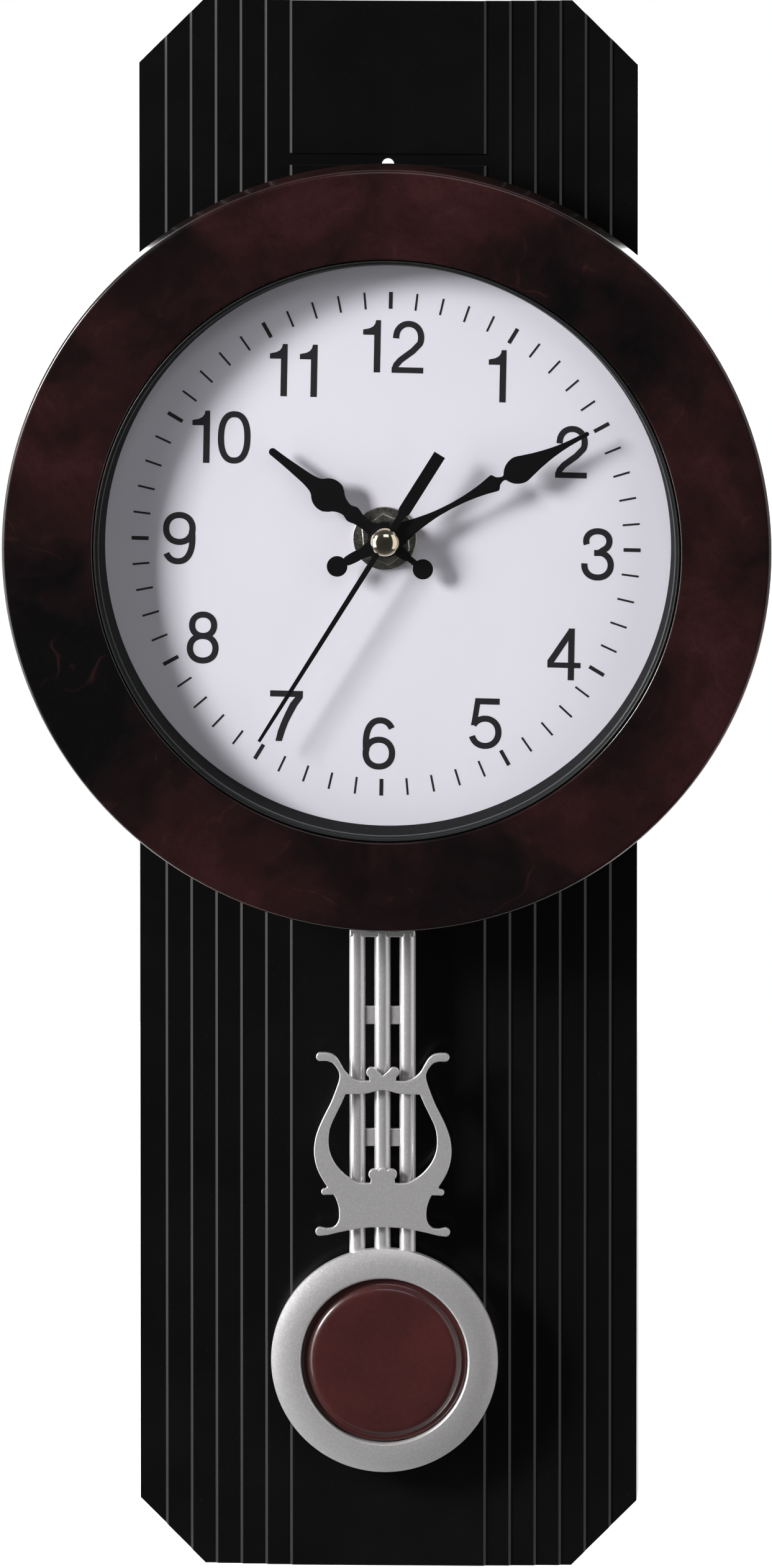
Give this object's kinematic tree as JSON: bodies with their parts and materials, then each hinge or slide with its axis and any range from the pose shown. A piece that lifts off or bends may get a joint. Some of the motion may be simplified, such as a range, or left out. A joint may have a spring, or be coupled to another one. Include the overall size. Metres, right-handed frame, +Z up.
{
  "type": "pendulum wall clock",
  "caption": "Tall black wall clock with a burl-finish round bezel, white dial, three hands, quartz movement with gear train, and a swinging silver pendulum with a lyre and a round bob.",
  "frame": {"origin": "hanging point: centre of the keyhole's round top, on the wall plane", "axes": "+X to the viewer's right, +Z up, +Y into the wall; the dial faces -Y"},
  "size_m": [0.1926, 0.049, 0.397],
  "materials": {
    "case_black": "moulded black plastic, semi-gloss",
    "burl_plastic": "burgundy and black burl print under gloss lacquer",
    "rim_black": "black plastic, satin",
    "pan_black": "black plastic, matt",
    "dial_white": "white dial, satin, black print",
    "clear_lens": "clear polished sheet",
    "hand_black": "black lacquer, satin",
    "brass": "polished",
    "nickel": "nickel plated, slightly dull",
    "steel": "bright steel",
    "silver_paint": "silver metallic paint on plastic, fine sparkle",
    "burgundy_gloss": "burgundy, high gloss",
    "movement_plastic": "black ABS, matt",
    "gear_plastic": "natural acetal",
    "rubber": "matt",
    "board_green": "solder mask",
    "copper": "enamelled copper wire",
    "magnet_grey": "sintered magnet, dull",
    "battery_jacket": "printed jacket without lettering"
  },
  "bodies": {
    "case": {"case_shell": "case_black", "bezel_ring": "burl_plastic", "dial_rim": "rim_black", "lens": "clear_lens", "dial_pan": "pan_black", "dial_plate": "dial_white", "bezel_standoff_1": "case_black", "bezel_standoff_2": "case_black", "bezel_standoff_3": "case_black", "bezel_standoff_4": "case_black", "bezel_screw_1": "steel", "bezel_screw_2": "steel", "bezel_screw_3": "steel", "bezel_screw_4": "steel", "movement_rear_housing": "movement_plastic", "movement_front_cover": "movement_plastic", "rubber_gasket": "rubber", "mounting_washer": "nickel", "mounting_nut": "nickel", "train_plate": "gear_plastic", "stator_plate": "steel", "stepper_coil": "copper", "circuit_board": "board_green", "quartz_crystal": "steel", "battery": "battery_jacket", "battery_contact_positive": "nickel", "battery_contact_negative": "nickel", "pendulum_coil": "copper", "pendulum_pivot_pin": "steel"},
    "second_train": {"second_wheel": "gear_plastic", "second_hand": "hand_black", "second_hand_cap": "brass"},
    "minute_train": {"minute_wheel": "gear_plastic", "minute_hand": "hand_black"},
    "hour_train": {"hour_wheel": "gear_plastic", "hour_hand": "hand_black"},
    "rotor": {"rotor": "magnet_grey"},
    "intermediate": {"intermediate_wheel": "gear_plastic"},
    "third": {"third_wheel": "gear_plastic"},
    "motion": {"motion_wheel": "gear_plastic"},
    "knob": {"set_knob": "gear_plastic"},
    "pendulum": {"pendulum_arm": "steel", "pendulum_magnet": "magnet_grey", "pendulum_rods": "silver_paint", "lyre_plate": "silver_paint", "bob_ring": "silver_paint", "bob_insert": "burgundy_gloss"}
  },
  "joints": [
    {"name": "second_hand_spin", "type": "hinge", "parent": "case", "child": "second_train", "pos_m": [0, -0.02, -0.0924], "axis": [0, 1, 0], "continuous": true},
    {"name": "minute_hand_spin", "type": "hinge", "parent": "case", "child": "minute_train", "pos_m": [0, -0.02, -0.0924], "axis": [0, 1, 0], "continuous": true},
    {"name": "hour_hand_spin", "type": "hinge", "parent": "case", "child": "hour_train", "pos_m": [0, -0.02, -0.0924], "axis": [0, 1, 0], "continuous": true},
    {"name": "rotor_spin", "type": "hinge", "parent": "case", "child": "rotor", "pos_m": [-0.0106, -0.02, -0.08297], "axis": [0, 1, 0], "continuous": true},
    {"name": "intermediate_wheel_spin", "type": "hinge", "parent": "case", "child": "intermediate", "pos_m": [-0.0054, -0.02, -0.08597], "axis": [0, 1, 0], "continuous": true},
    {"name": "third_wheel_spin", "type": "hinge", "parent": "case", "child": "third", "pos_m": [0.00694, -0.02, -0.08413], "axis": [0, 1, 0], "continuous": true},
    {"name": "motion_wheel_spin", "type": "hinge", "parent": "case", "child": "motion", "pos_m": [-0.00564, -0.02, -0.09445], "axis": [0, 1, 0], "continuous": true},
    {"name": "set_knob_spin", "type": "hinge", "parent": "case", "child": "knob", "pos_m": [-0.01128, -0.02, -0.0965], "axis": [0, 1, 0], "continuous": true},
    {"name": "pendulum_swing", "type": "hinge", "parent": "case", "child": "pendulum", "pos_m": [0, -0.0235, -0.1318], "axis": [0, 1, 0], "range_deg": [-7, 7]}
  ],
  "couplings": [
    {"joint": "minute_hand_spin", "follows": "second_hand_spin", "ratio": 0.016667},
    {"joint": "hour_hand_spin", "follows": "second_hand_spin", "ratio": 0.0013889},
    {"joint": "rotor_spin", "follows": "second_hand_spin", "ratio": 30},
    {"joint": "intermediate_wheel_spin", "follows": "second_hand_spin", "ratio": -6},
    {"joint": "third_wheel_spin", "follows": "second_hand_spin", "ratio": -0.13333},
    {"joint": "motion_wheel_spin", "follows": "second_hand_spin", "ratio": -0.0055556},
    {"joint": "set_knob_spin", "follows": "second_hand_spin", "ratio": 0.016667}
  ]
}
